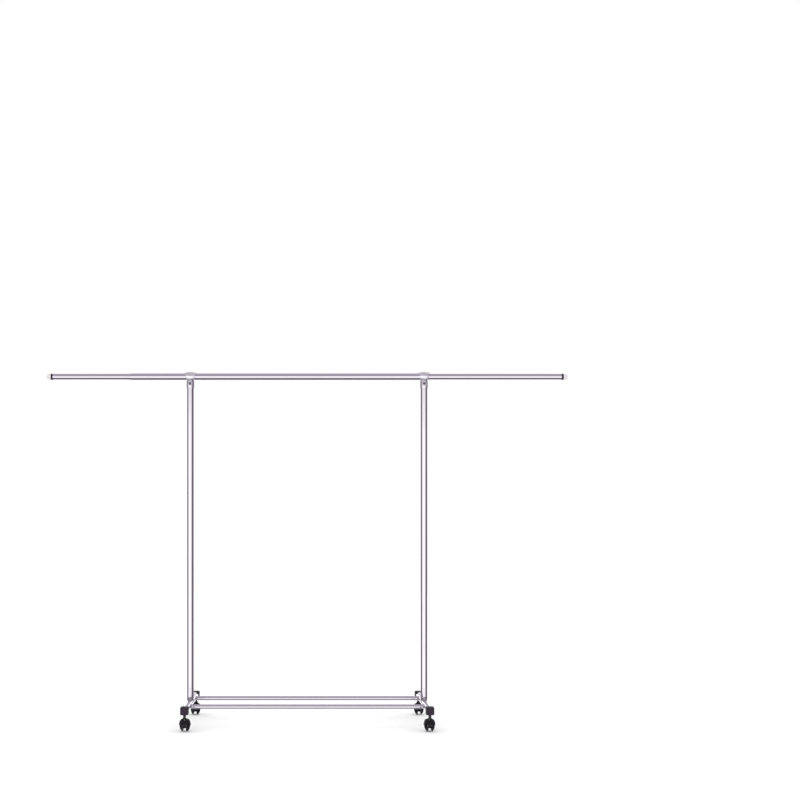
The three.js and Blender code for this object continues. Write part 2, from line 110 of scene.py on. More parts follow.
def colour(name, description, default):
    return FloatVectorProperty(
        name=name, description=description, default=default, min=0.0, max=1.0, size=3,
        subtype="COLOR",
    )


def share(name, description, default):
    return FloatProperty(
        name=name, description=description, default=default, min=0.0, max=1.0, subtype="FACTOR"
    )


class RackTubing(PropertyGroup):
    """Sizes of the tubes that the frame's boxes don't give."""

    facets: IntProperty(
        name="Facets", description="Facets round a tube", default=72, min=16, max=256
    )
    main_wall: length("Bar Wall", "Wall of the main bar tube", 0.7 * MM)
    post_wall: length("Post Wall", "Wall of the posts, sockets and feet", 0.9 * MM)
    rail_wall: length("Rail Wall", "Wall of the two rails", 0.8 * MM)
    extension_wall: length("Extension Wall", "Wall of the sliding extensions", 0.8 * MM)
    mouth: length("Mouth", "Stretch over which the bar's ends are drawn in", 15 * MM)
    mouth_step: length("Mouth Step", "How far the bar's ends are drawn in", 0.5 * MM)
    post_weld: length("Post Weld", "Radius of the weld between a post and its foot", 12 * MM)
    rail_weld: length("Rail Weld", "Radius of the weld between a rail and a foot", 8 * MM)


class RackFittings(PropertyGroup):
    """Sizes of the connectors, screws, plugs and end blocks."""

    saddle_edge: length("Saddle Edge", "Metal over the bar at the saddle's ends", 1.1 * MM)
    saddle_peak: FloatProperty(
        name="Saddle Peak", description="Saddle outline: 1 is an ellipse, higher is more peaked",
        default=1.7, min=1.0, max=3.0,
    )
    cup_wall: length("Cup Wall", "Metal round the post in the connector's cup", 1.8 * MM)
    web: length("Web", "Metal between the bar and the top of the post", 6.2 * MM)
    boss_radius: length("Boss", "Radius of the boss round the post screw", 7.5 * MM)
    boss_recess: length("Boss Recess", "How deep the screw head sits in its boss", 1.8 * MM)
    screw_socket: length("Screw Socket", "Hexagon socket across its corners", 4.6 * MM)
    block_corner: length("Block Corner", "Radius of an end block's long corners", 3 * MM)
    block_edge: length("Block Edge", "Radius round an end block's face", 2 * MM)
    panel_border: length("Panel Border", "Rim round the sunken panel of a block", 4.2 * MM)
    panel_depth: length("Panel Depth", "Depth of the sunken panel of a block", 0.45 * MM)
    dome_squareness: FloatProperty(
        name="Dome Squareness", description="Plug outline: 2 is an ellipse, higher is boxier",
        default=2.5, min=1.0, max=8.0,
    )


class RackCasters(PropertyGroup):
    """Sizes of the casters that the frame's boxes don't give."""

    facets: IntProperty(
        name="Facets", description="Facets round a wheel and its hood", default=72, min=16, max=256
    )
    tread: length("Tread", "Flat running band of a wheel", 2.6 * MM)
    wheel_fullness: FloatProperty(
        name="Wheel Fullness", description="Wheel dome: 2 is an ellipse, lower is more pointed",
        default=1.7, min=1.0, max=4.0,
    )
    hood_squareness: FloatProperty(
        name="Hood Squareness", description="Hood outline: 2 is an ellipse, higher is boxier",
        default=3.0, min=1.0, max=8.0,
    )
    hood_radius: length("Hood Radius", "Hood's outside round the axle", 26.5 * MM)
    wheel_play: length("Wheel Play", "Room between a wheel and the hood", 1 * MM)
    rim_arc: length("Rim Arc", "Side view radius of the hood's lower edge", 45 * MM)
    rim_rise: length("Rim Rise", "Lowest point of that edge above the axle", 3 * MM)
    bead: length("Bead", "Bead along the hood's lower edge, proud of the hood", 0.55 * MM)
    bead_height: length("Bead Height", "Height of that bead", 1.7 * MM)
    web_half: length("Web", "Half thickness of the hood's centre web", 4.9 * MM)
    web_radius: length("Web Radius", "Centre web round the axle", 9.3 * MM)
    boss_radius: length("Boss", "Radius of the boss that turns on the stem", 8 * MM)
    pin_radius: length("Pin", "Radius of the stem's pin in that boss", 3.4 * MM)
    collar: length("Collar", "Stem collar beyond the neck", 1.4 * MM)


class RackFinish(PropertyGroup):
    """Colours and polish of the rack's finishes."""

    steel: colour("Steel", "Polished tube", (0.80, 0.775, 0.82))
    steel_roughness: share("Steel Roughness", "Haze of the polished tube", 0.07)
    casting: colour("Casting", "Chromed connector", (0.93, 0.91, 0.94))
    zinc: colour("Zinc", "Zinc-plated bolts and axles", (0.52, 0.52, 0.54))
    black_steel: colour("Black Steel", "Blackened stems", (0.022, 0.020, 0.024))
    dark_steel: colour("Dark Steel", "Darkened post screws", (0.15, 0.14, 0.16))
    block: colour("Block", "Moulded end blocks", (0.024, 0.014, 0.027))
    caster: colour("Caster", "Moulded hoods and wheels", (0.0045, 0.0040, 0.0050))
    rubber: colour("Rubber", "Rings at the bar's ends", (0.016, 0.014, 0.017))
    plug: colour("Plug", "White plugs at the bar's ends", (0.69, 0.675, 0.70))
    guide: colour("Guide", "Grey guides inside the bar and rails", (0.28, 0.28, 0.29))


class RackStudio(PropertyGroup):
    """Camera, light and floor."""

    distance: length("Distance", "Camera in front of the bar", 4.15)
    height: length("Height", "Camera above the floor", 0.698)
    lens: FloatProperty(name="Lens", description="Focal length", default=50.0, unit="CAMERA")
    shift_right: FloatProperty(name="Shift X", description="Sideways shift", default=0.116)
    shift_up: FloatProperty(name="Shift Y", description="Upward shift", default=0.1695)
    room: FloatProperty(name="Room", description="Even light on matt surfaces", default=1.2)
    tent: FloatProperty(name="Tent", description="Strength of the reflected tent", default=1.3)
    lamp: FloatProperty(name="Lamp", description="Power of the front lamp in watts", default=380.0)
    floor: colour("Floor", "Plain pale floor", (0.95, 0.95, 0.953))
    floor_radius: length("Floor Radius", "Radius of the floor", 9.0)


# ------------------------------------------------------------------ frame helpers


def middle(node):
    low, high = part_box(node)
    return (low + high) / 2


def half_size(node):
    low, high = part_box(node)
    return (high - low) / 2


def bar_axis():
    return middle("main_bar_tube")


def tube_radius():
    return half_size("main_bar_tube").z


# ------------------------------------------------------------------ mesh helpers


def spread(count):
    return [2 * math.pi * i / count for i in range(count)]


def smooth(t):
    return t * t * (3 - 2 * t)


def circle(axis, centre, radius, along, facets):
    across, up, ahead = AXES[axis]
    start = centre + ahead * along
    if radius == 0:
        return [start]
    return [start + (across * math.cos(a) + up * math.sin(a)) * radius for a in spread(facets)]


def skinned(outlines, closed=False):
    """Mesh through outlines of equal length; a single point closes an end."""
    bm = bmesh.new()
    rows = [[bm.verts.new(point) for point in outline] for outline in outlines]
    following = rows[1:] + rows[:1] if closed else rows[1:]
    for row, after in zip(rows, following):
        count = max(len(row), len(after))
        for i in range(count):
            j = (i + 1) % count
            corners = [
                row[i % len(row)], row[j % len(row)], after[j % len(after)], after[i % len(after)]
            ]
            bm.faces.new(list(dict.fromkeys(corners)))
    bmesh.ops.recalc_face_normals(bm, faces=bm.faces)
    mesh = bpy.data.meshes.new("solid")
    bm.to_mesh(mesh)
    bm.free()
    return mesh


def turned(axis, centre, profile, facets=72, closed=False, way=1):
    """Turned solid: profile is (radius, distance along the axis towards way)."""
    return skinned([circle(axis, centre, r, along * way, facets) for r, along in profile], closed)


def rod(axis, centre, radius, start, end, facets=72):
    return turned(axis, centre, [(0, start), (radius, start), (radius, end), (0, end)], facets)


def pin(axis, centre, radius, half, chamfer, facets):
    """Rod with both ends chamfered."""
    return turned(axis, centre, [
        (0, -half), (radius - chamfer, -half), (radius, -half + chamfer),
        (radius, half - chamfer), (radius - chamfer, half), (0, half),
    ], facets)


def arc(centre_r, centre_along, radius, start, end, steps=5):
    """Points of an arc in a profile; 0 degrees is outwards and 90 is along the axis."""
    points = []
    for i in range(steps + 1):
        angle = math.radians(start + (end - start) * i / steps)
        points.append((centre_r + radius * math.cos(angle), centre_along + radius * math.sin(angle)))
    return points


def quarter(width, height, squareness, steps):
    """Superellipse from (0, height) to (width, 0)."""
    points = []
    for i in range(steps + 1):
        angle = i / steps * math.pi / 2
        across = width * abs(math.sin(angle)) ** (2 / squareness)
        up = height * abs(math.cos(angle)) ** (2 / squareness)
        points.append((across, up if i < steps else 0))
    return points


def tube_profile(outer, wall, start, end, opening=()):
    """Closed profile of a tube, its four edges broken; opening leads in from the start."""
    lip = LIP * wall
    inner = outer - wall
    opening = opening or [(outer, start + lip + HOLD)]
    closing = [(r, start + end - along) for r, along in reversed(opening)]
    return (
        arc(outer - lip, start + lip, lip, -90, 0, 3)
        + opening
        + closing
        + arc(outer - lip, end - lip, lip, 0, 90, 3)
        + arc(inner + lip, end - lip, lip, 90, 180, 3)
        + [(r - wall, along) for r, along in reversed(opening + closing)]
        + arc(inner + lip, start + lip, lip, 180, 270, 3)
    )


def combined(mesh, operation, *tools):
    """mesh after a union, difference or intersection with each tool in turn."""
    for tool in tools:
        work, other = [bpy.data.objects.new("work", m) for m in (mesh, tool)]
        for holder in (work, other):
            bpy.context.scene.collection.objects.link(holder)
        step = work.modifiers.new("step", "BOOLEAN")
        step.operation = operation
        step.solver = "MANIFOLD"
        step.object = other
        graph = bpy.context.evaluated_depsgraph_get()
        mesh = bpy.data.meshes.new_from_object(work.evaluated_get(graph))
        for holder in (work, other):
            bpy.data.objects.remove(holder)
        if not mesh.polygons:
            raise RuntimeError(f"a {operation.lower()} left nothing")
    return mesh


def block(low, high):
    """Plain box, only as a tool or an ingredient of a joined solid."""
    corners = [(low.x, low.y), (high.x, low.y), (high.x, high.y), (low.x, high.y)]
    centre = (low + high) / 2
    rows = [[Vector((x, y, z)) for x, y in corners] for z in (low.z, high.z)]
    ends = [[Vector((centre.x, centre.y, z))] for z in (low.z, high.z)]
    return skinned([ends[0], *rows, ends[1]])


def shade(mesh):
    """Smooth faces with crisp edges where the surface folds."""
    bm = bmesh.new()
    bm.from_mesh(mesh)
    bmesh.ops.remove_doubles(bm, verts=bm.verts, dist=1e-6)
    bmesh.ops.dissolve_degenerate(bm, edges=bm.edges, dist=1e-6)
    for face in bm.faces:
        face.smooth = True
    for edge in bm.edges:
        edge.smooth = len(edge.link_faces) == 2 and edge.calc_face_angle(0) < SHARP
    bm.to_mesh(mesh)
    bm.free()


def piece(node, mesh, finish):
    """Shows mesh in place of a CAD node, on the node's own body."""
    shade(mesh)
    mesh.name = f"{node}_finished"
    mesh.materials.clear()
    mesh.materials.append(finish)
    made = bpy.data.objects.new(mesh.name, mesh)
    bpy.context.scene.collection.objects.link(made)
    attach(made, BODY_OF[node])
    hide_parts(node)
    return made


def repaint(node, finish):
    for holder in frame["nodes"][node].material_slots:
        holder.material = finish


# ------------------------------------------------------------------ shader helpers


def connect(tree, socket, value):
    """Sets an input to a plain value, or links it from another node's output."""
    if isinstance(value, bpy.types.NodeSocket):
        tree.links.new(value, socket)
    else:
        socket.default_value = value


def put(tree, kind, inputs=None, **settings):
    """New node, with its settings and inputs."""
    node = tree.nodes.new(kind)
    for name, value in settings.items():
        setattr(node, name, value)
    for key, value in (inputs or {}).items():
        connect(tree, node.inputs[key], value)
    return node


def maths(tree, operation, *values, clamp=False):
    node = put(
        tree, "ShaderNodeMath", dict(enumerate(values)), operation=operation, use_clamp=clamp
    )
    return node.outputs[0]


def mixed(tree, amount, first, second, mode="MIX"):
    node = put(
        tree, "ShaderNodeMix", {0: amount, 6: first, 7: second}, data_type="RGBA", blend_type=mode
    )
    return node.outputs[2]


def remapped(tree, value, low, high, to_low=0.0, to_high=1.0):
    inputs = {"Value": value, 1: low, 2: high, 3: to_low, 4: to_high}
    return put(tree, "ShaderNodeMapRange", inputs, interpolation_type="SMOOTHSTEP").outputs[0]


def ramp(tree, value, stops):
    """Colour ramp through (place, colour) stops."""
    node = put(tree, "ShaderNodeValToRGB", {0: value})
    elements = node.color_ramp.elements
    for place, tint in stops[1:-1]:
        elements.new(place).color = (*tint, 1)
    for element, (place, tint) in zip((elements[0], elements[-1]), (stops[0], stops[-1])):
        element.position = place
        element.color = (*tint, 1)
    return node.outputs[0]


def noise(tree, vector, scale, detail=3.0, roughness=0.5):
    inputs = {"Vector": vector, "Scale": scale, "Detail": detail, "Roughness": roughness}
    return put(tree, "ShaderNodeTexNoise", inputs).outputs[0]


def places(tree):
    return put(tree, "ShaderNodeTexCoord").outputs["Object"]


def group(name, inputs, output, build):
    """The shared node group of that name, built at its first use."""
    tree = bpy.data.node_groups.get(name)
    if tree is None:
        tree = bpy.data.node_groups.new(name, "ShaderNodeTree")
        for label, default in inputs.items():
            kind = "NodeSocketFloat" if isinstance(default, float) else "NodeSocketVector"
            socket = tree.interface.new_socket(label, in_out="INPUT", socket_type=kind)
            socket.default_value = default
        tree.interface.new_socket(output, in_out="OUTPUT", socket_type="NodeSocketFloat")
        made = build(tree, put(tree, "NodeGroupInput").outputs)
        put(tree, "NodeGroupOutput", {output: made})
    return tree


def shared(tree, effect, **inputs):
    """Output of a shared node group."""
    return put(tree, "ShaderNodeGroup", inputs, node_tree=effect).outputs[0]


def draw_lines():
    """Fine polishing lines, long in the direction whose stretch is small."""

    def build(tree, given):
        stretched = put(
            tree, "ShaderNodeVectorMath", {0: places(tree), 1: given["Stretch"]},
            operation="MULTIPLY",
        ).outputs[0]
        return remapped(tree, noise(tree, stretched, 1.0, 4.0, 0.65), 0.35, 0.72)

    return group("Draw Lines", {"Stretch": (1, 1, 1)}, "Lines", build)


def handling_marks():
    """Soft patches where hands have dulled a polished surface."""

    def build(tree, given):
        broad = noise(tree, places(tree), given["Scale"], 4.0, 0.6)
        streaks = noise(tree, places(tree), maths(tree, "MULTIPLY", given["Scale"], 9.0), 2.0)
        patches = remapped(tree, broad, 0.48, 0.72)
        smeared = maths(tree, "MULTIPLY", patches, remapped(tree, streaks, 0.3, 0.7, 0.35, 1.0))
        return maths(tree, "MULTIPLY", smeared, given["Amount"], clamp=True)

    return group("Handling Marks", {"Scale": 14.0, "Amount": 1.0}, "Marks", build)


def edge_wear():
    """Broken line of wear along edges and corners."""

    def build(tree, given):
        rounded = put(tree, "ShaderNodeBevel", {"Radius": given["Width"]}, samples=4).outputs[0]
        flat = put(tree, "ShaderNodeNewGeometry").outputs["Normal"]
        closeness = put(
            tree, "ShaderNodeVectorMath", {0: rounded, 1: flat}, operation="DOT_PRODUCT"
        ).outputs["Value"]
        edge = remapped(tree, maths(tree, "SUBTRACT", 1.0, closeness), 0.01, 0.14)
        broken = remapped(tree, noise(tree, places(tree), given["Scale"], 5.0, 0.7), 0.42, 0.62)
        worn = maths(tree, "MULTIPLY", edge, broken)
        return maths(tree, "MULTIPLY", worn, given["Amount"], clamp=True)

    inputs = {"Width": 0.5 * MM, "Scale": 400.0, "Amount": 1.0}
    return group("Edge Wear", inputs, "Wear", build)


def settled_dust():
    """Thin dust on what faces up."""

    def build(tree, given):
        normal = put(tree, "ShaderNodeNewGeometry").outputs["Normal"]
        upward = put(tree, "ShaderNodeSeparateXYZ", {0: normal}).outputs["Z"]
        facing = remapped(tree, upward, 0.35, 1.0)
        speckle = remapped(tree, noise(tree, places(tree), 900.0, 3.0, 0.8), 0.4, 0.75)
        lying = maths(tree, "MULTIPLY", facing, speckle)
        return maths(tree, "MULTIPLY", lying, given["Amount"], clamp=True)

    return group("Settled Dust", {"Amount": 0.3}, "Dust", build)


def mould_grain():
    """Fine leathery texture of a spark-eroded mould."""

    def build(tree, given):
        cells = put(
            tree, "ShaderNodeTexVoronoi", {"Vector": places(tree), "Scale": given["Scale"]}
        ).outputs["Distance"]
        cloud = noise(tree, places(tree), maths(tree, "MULTIPLY", given["Scale"], 0.6), 4.0, 0.6)
        return maths(tree, "ADD", maths(tree, "MULTIPLY", cells, 0.5), cloud)

    return group("Mould Grain", {"Scale": 1500.0}, "Height", build)


# ------------------------------------------------------------------ finishes


def finish(name, build, *values):
    """The material of that name, built at its first use."""
    material = bpy.data.materials.get(name)
    if material is None:
        material = bpy.data.materials.new(name)
        material.use_nodes = True
        tree = material.node_tree
        build(tree, tree.nodes["Principled BSDF"], *values)
    return material


def tint(rgb, times=1.0):
    return (rgb[0] * times, rgb[1] * times, rgb[2] * times, 1.0)


def bumped(tree, shader, height, strength, distance):
    inputs = {"Height": height, "Strength": strength, "Distance": distance}
    tree.links.new(put(tree, "ShaderNodeBump", inputs).outputs[0], shader.inputs["Normal"])


def feed(tree, shader, **inputs):
    """Connects shader inputs; an underscore in a label stands for a space."""
    for label, value in inputs.items():
        connect(tree, shader.inputs[label.replace("_", " ")], value)


def toned(tree, mask, strength, base, rgba):
    """base, drawn towards rgba where the mask is high."""
    return mixed(tree, maths(tree, "MULTIPLY", mask, strength), base, rgba)


def polished(tree, shader, axis):
    """Polished tube with faint lengthwise lines and a few handling marks."""
    look = bpy.context.scene.rack_finish
    across, lengthwise = 2600.0, 5.0
    stretch = [lengthwise if letter == axis else across for letter in "xyz"]
    lines = shared(tree, draw_lines(), Stretch=stretch)
    marks = shared(tree, handling_marks(), Scale=13.0, Amount=0.8)
    lined = toned(tree, lines, 0.35, tint(look.steel), tint(look.steel, 0.86))
    haze = maths(tree, "MULTIPLY_ADD", lines, 0.045, look.steel_roughness)
    feed(
        tree, shader, Metallic=1.0,
        Base_Color=toned(tree, marks, 0.3, lined, tint(look.steel, 0.88)),
        Roughness=maths(tree, "MULTIPLY_ADD", marks, 0.10, haze),
    )
    bumped(tree, shader, lines, 0.04, 0.02 * MM)


def polished_along(axis):
    return finish(f"Polished Tube Along {axis.upper()}", polished, axis)


def chromed(tree, shader):
    """Chrome on a casting: a slight orange peel, and painted shade that darkens the chrome's colour
    in its hollows.
    """
    look = bpy.context.scene.rack_finish
    marks = shared(tree, handling_marks(), Scale=60.0, Amount=0.9)
    peel = noise(tree, places(tree), 420.0, 2.0, 0.4)
    # painted shade: ambient occlusion marks the hollows and tight corners of the casting
    painted_hollow_shade = put(tree, "ShaderNodeAmbientOcclusion", {"Distance": 4 * MM}, samples=6).outputs["AO"]
    open_metal = toned(tree, marks, 0.35, tint(look.casting), tint(look.casting, 0.82))
    # the painted shade: the chrome's colour is darker where the ambient occlusion is low
    metal = mixed(tree, remapped(tree, painted_hollow_shade, 0.2, 0.9), tint(look.casting, 0.85), open_metal)
    haze = maths(tree, "MULTIPLY_ADD", marks, 0.10, 0.35)
    feed(tree, shader, Metallic=1.0, Base_Color=metal, Roughness=haze)
    bumped(tree, shader, peel, 0.12, 0.05 * MM)


def zinc_plated(tree, shader):
    """Zinc plating with a soft spangle and bright worn edges."""
    look = bpy.context.scene.rack_finish
    spangle = put(
        tree, "ShaderNodeTexVoronoi", {"Vector": places(tree), "Scale": 650.0}
    ).outputs["Color"]
    grey = put(tree, "ShaderNodeSeparateColor", {0: spangle}).outputs[0]
    wear = shared(tree, edge_wear(), Width=0.4 * MM, Scale=700.0, Amount=0.8)
    plate = mixed(tree, grey, tint(look.zinc, 0.85), tint(look.zinc, 1.1))
    feed(
        tree, shader, Metallic=1.0,
        Base_Color=mixed(tree, wear, plate, tint(look.zinc, 1.4)),
        Roughness=maths(tree, "MULTIPLY_ADD", grey, 0.14, 0.26),
    )
    bumped(tree, shader, grey, 0.08, 0.02 * MM)


def blackened(tree, shader, rgb):
    """Oxide on steel: satin, mottled, brown-grey where it has rubbed through."""
    mottle = noise(tree, places(tree), 500.0, 4.0, 0.6)
    wear = shared(tree, edge_wear(), Width=0.35 * MM, Scale=600.0, Amount=0.7)
    oxide = mixed(tree, mottle, tint(rgb, 0.75), tint(rgb, 1.6))
    feed(
        tree, shader, Metallic=0.6,
        Base_Color=mixed(tree, wear, oxide, BARE_STEEL),
        Roughness=maths(tree, "MULTIPLY_ADD", mottle, 0.22, 0.24),
    )
    bumped(tree, shader, mottle, 0.10, 0.03 * MM)


def moulded(tree, shader, rgb, roughness, shine, grain, relief, dust, lift):
    """Moulded plastic or rubber: grain, paler edges, a little dust."""
    height = shared(tree, mould_grain(), Scale=grain)
    wear = shared(tree, edge_wear(), Width=0.45 * MM, Scale=350.0, Amount=0.7)
    lying = shared(tree, settled_dust(), Amount=dust)
    cloud = noise(tree, places(tree), 45.0, 3.0, 0.6)
    body = mixed(tree, cloud, tint(rgb, 0.86), tint(rgb, 1.14))
    rubbed = mixed(tree, wear, body, tint(rgb, lift))
    matt = maths(tree, "MULTIPLY_ADD", cloud, 0.10, roughness - 0.05)
    feed(
        tree, shader, Specular_IOR_Level=shine,
        Base_Color=mixed(tree, lying, rubbed, DUST),
        Roughness=maths(tree, "MULTIPLY_ADD", lying, 0.3, matt, clamp=True),
    )
    bumped(tree, shader, height, relief, 0.05 * MM)


def plastic(key):
    """Moulded finish of the colour setting with that name."""
    name, *values = MOULDED[key]
    return finish(name, moulded, getattr(bpy.context.scene.rack_finish, key), *values)


def chrome_casting():
    return finish("Chrome Casting", chromed)


def zinc_steel():
    return finish("Zinc Plate", zinc_plated)


def black_steel():
    return finish("Black Oxide", blackened, bpy.context.scene.rack_finish.black_steel)


def dark_steel():
    return finish("Dark Oxide", blackened, bpy.context.scene.rack_finish.dark_steel)


# ------------------------------------------------------------------ tubes


def bar_profile(size, outer, start, end):
    """Tube profile with both mouths drawn in along a soft S."""
    mouth_start = start + LIP * size.main_wall
    narrow = outer - size.mouth_step
    steps = 8
    shares = [i / steps for i in range(1, steps + 1)]
    opening = [(narrow + size.mouth_step * smooth(t), mouth_start + t * size.mouth) for t in shares]
    opening.append((outer, mouth_start + size.mouth + HOLD))
    return tube_profile(narrow, size.main_wall, start, end, opening)


def plain_tube(node, axis, wall, facets):
    """Straight tube as long and as wide as its node."""
    at = "xyz".index(axis)
    half = half_size(node)
    profile = tube_profile(half[at - 1], wall, -half[at], half[at])
    return turned(axis, middle(node), profile, facets, closed=True)


def post_socket(side, size):
    """Short upright on the foot tube, spread at its lower end into a smooth weld."""
    radius = tube_radius()
    inner = radius - size.post_wall
    foot = middle(f"foot_tube_{side}")
    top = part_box(f"post_socket_{side}")[1].z - foot.z
    fade = 3
    outside, inside, edge, above = [], [], [], []
    weld_rows = [[] for _ in WELD]

    def foot_top(x):
        return math.sqrt(max(radius**2 - x**2, 0))

    for angle in spread(size.facets):
        across, deep = math.cos(angle), math.sin(angle)
        spreading = size.post_weld * abs(deep) ** fade
        toe_z = foot_top((radius + spreading) * across) - SUNK
        top_z = foot_top(radius * across) + spreading
        for row, (outward, downward) in zip(weld_rows, WELD):
            out = radius + spreading * outward
            row.append(Vector((out * across, out * deep, top_z + (toe_z - top_z) * downward)))
        above.append(Vector((radius * across, radius * deep, top_z + HOLD)))
        edge.append(Vector((inner * across, inner * deep, foot_top(inner * across) - SUNK)))
        outside.append(Vector((radius * across, radius * deep, top)))
        inside.append(Vector((inner * across, inner * deep, top)))
    outlines = [outside, above, *weld_rows, edge, inside]
    return skinned([[foot + point for point in row] for row in outlines], closed=True)


def rail(node, size):
    """Rail between the feet, both ends spread into smooth welds on the foot tubes."""
    centre = middle(node)
    foot_radius = tube_radius()
    radius = half_size(node).z
    inner = radius - size.rail_wall
    foot_x = abs(middle("foot_tube_right").x)
    least = 0.35
    right_weld = [[] for _ in WELD]
    right_edge, beside = [], []

    def coped(z):
        return foot_x - math.sqrt(foot_radius**2 - z**2)

    for angle in spread(size.facets):
        y, z = math.cos(angle), math.sin(angle)
        spreading = size.rail_weld * (least + (1 - least) * abs(y))
        toe_x = coped((radius + spreading) * z) + SUNK
        heel_x = coped(radius * z) - spreading
        for row, (outward, onward) in zip(right_weld, WELD):
            out = radius + spreading * outward
            row.append(Vector((heel_x + (toe_x - heel_x) * onward, out * y, out * z)))
        beside.append(Vector((heel_x - HOLD, radius * y, radius * z)))
        right_edge.append(Vector((coped(inner * z) + SUNK, inner * y, inner * z)))
    outlines = [*reversed(right_weld), beside]
    mirror = Vector((-1, 1, 1))
    outlines += [[point * mirror for point in row] for row in (beside, *right_weld, right_edge)]
    outlines.append(right_edge)
    return skinned([[centre + point for point in row] for row in outlines], closed=True)


class RACK_OT_bar(Operator):
    """Main bar tube and the two sliding extension tubes"""

    bl_idname = "rack.bar"
    bl_label = "Hanging Bar"

    def execute(self, context):
        size = context.scene.rack_tubing
        half = half_size("main_bar_tube").x
        profile = bar_profile(size, tube_radius(), -half, half)
        bar = turned("x", bar_axis(), profile, size.facets, closed=True)
        piece("main_bar_tube", bar, polished_along("x"))
        for side, _ in SIDES:
            node = f"extension_tube_{side}"
            tube = plain_tube(node, "x", size.extension_wall, size.facets)
            piece(node, tube, polished_along("x"))
        return {"FINISHED"}


class RACK_OT_posts(Operator):
    """Posts, their welded sockets and the spigots that join them"""

    bl_idname = "rack.posts"
    bl_label = "Posts"

    def execute(self, context):
        size = context.scene.rack_tubing
        for side, _ in SIDES:
            tube = plain_tube(f"post_{side}", "z", size.post_wall, size.facets)
            piece(f"post_{side}", tube, polished_along("z"))
            socket = post_socket(side, size)
            piece(f"post_socket_{side}", socket, polished_along("z"))
            repaint(f"post_spigot_{side}", zinc_steel())
        return {"FINISHED"}


class RACK_OT_feet(Operator):
    """Foot tubes and the two rails between them"""

    bl_idname = "rack.feet"
    bl_label = "Feet and Rails"

    def execute(self, context):
        size = context.scene.rack_tubing
        for side, _ in SIDES:
            tube = plain_tube(f"foot_tube_{side}", "y", size.post_wall, size.facets)
            piece(f"foot_tube_{side}", tube, polished_along("y"))
        for end, _ in ENDS:
            piece(f"rail_{end}", rail(f"rail_{end}", size), polished_along("x"))
        for corner in CORNERS:
            repaint(f"rail_insert_{corner}", plastic("guide"))
        return {"FINISHED"}


# ------------------------------------------------------------------ bar ends


def end_ring(node, facets):
    half = half_size(node)
    round_over, thickness = 1.1 * MM, 2.2 * MM
    inner = half.z - thickness
    profile = (
        [(inner, -half.x)]
        + arc(half.z - round_over, -half.x + round_over, round_over, -90, 0)
        + arc(half.z - round_over, half.x - round_over, round_over, 0, 90)
        + [(inner, half.x)]
    )
    return turned("x", middle(node), profile, facets, closed=True)


def end_plug(node, way, size, facets):
    """Domed plug whose spigot fills the extension tube; way is the side that it points to."""
    inner, tip = sorted(end.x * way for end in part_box(node))
    ring_gap, flange, step = 0.15 * MM, 1.6 * MM, 2.6 * MM
    lead, groove, groove_end, flange_start = 1 * MM, 0.3 * MM, 1.0 * MM, 1.4 * MM
    seat = max(end.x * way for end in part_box(node.replace("plug", "ring"))) + ring_gap
    radius = half_size(node).z
    spigot = radius - step
    outline = quarter(tip - seat - flange, radius, size.dome_squareness, 16)
    profile = [
        (0, inner), (spigot - lead, inner), (spigot, inner + lead), (spigot, seat),
        (radius - 2 * groove, seat), (radius - groove, seat + groove),
        (radius - groove, seat + groove_end), (radius, seat + flange_start),
        *[(r, seat + flange + along) for along, r in outline],
    ]
    centre = Vector((0, bar_axis().y, bar_axis().z))
    return turned("x", centre, profile, facets, way=way)


class RACK_OT_bar_ends(Operator):
    """Rubber rings, domed plugs and inner guides of the extensions"""

    bl_idname = "rack.bar_ends"
    bl_label = "Bar Ends"

    def execute(self, context):
        size = context.scene.rack_fittings
        facets = context.scene.rack_tubing.facets
        for side, way in SIDES:
            ring, plug = f"end_ring_{side}", f"end_plug_{side}"
            piece(ring, end_ring(ring, facets), plastic("rubber"))
            piece(plug, end_plug(plug, way, size, facets), plastic("plug"))
            repaint(f"guide_plug_{side}", plastic("guide"))
        return {"FINISHED"}


# ------------------------------------------------------------------ connectors and screws


def button_head(node, axis, way, head_height, socket):
    """Button-head screw as long and wide as its node, its hexagon socket facing way."""
    centre, radius = middle(node), half_size(node).z
    top = half_size(node)["xyz".index(axis)]
    seat = top - head_height
    rise = top - seat
    shank, edge = radius * 0.55, 0.25 * MM
    straight, socket_depth = 0.22, 0.62 * rise
    crown = [
        (r, seat + rise * (straight + (1 - straight) * up))
        for up, r in quarter(1.0, radius, 2.0, 8) if r > 0
    ]
    screw = turned(axis, centre, [
        (0, -top), (shank - edge, -top), (shank, -top + edge), (shank, seat),
        (radius - edge, seat), (radius, seat + edge), *crown, (0, top),
    ], PIN_FACETS, way=way)
    start, end = (top - socket_depth) * way, (top + PAST) * way
    return combined(screw, "DIFFERENCE", rod(axis, centre, socket / 2, start, end, HEXAGON))


def saddle(centre, size, half, crown, waist):
    """Double-curved barrel over the bar, long on top and narrow underneath."""
    edge = tube_radius() + size.saddle_edge
    average, swing = (half + waist) / 2, (half - waist) / 2
    steps = 28
    outlines = [[centre + Vector((-average, 0, 0))]]
    for i in range(steps + 1):
        turn = math.pi * i / steps
        radius = edge + (crown - edge) * abs(math.sin(turn)) ** size.saddle_peak
        outline = []
        for angle in spread(CASTING_FACETS):
            outward = Vector((0, math.sin(angle), math.cos(angle)))
            reach = -math.cos(turn) * (average + swing * outward.z)
            outline.append(centre + Vector((reach, 0, 0)) + outward * radius)
        outlines.append(outline)
    outlines.append([centre + Vector((average, 0, 0))])
    return skinned(outlines)


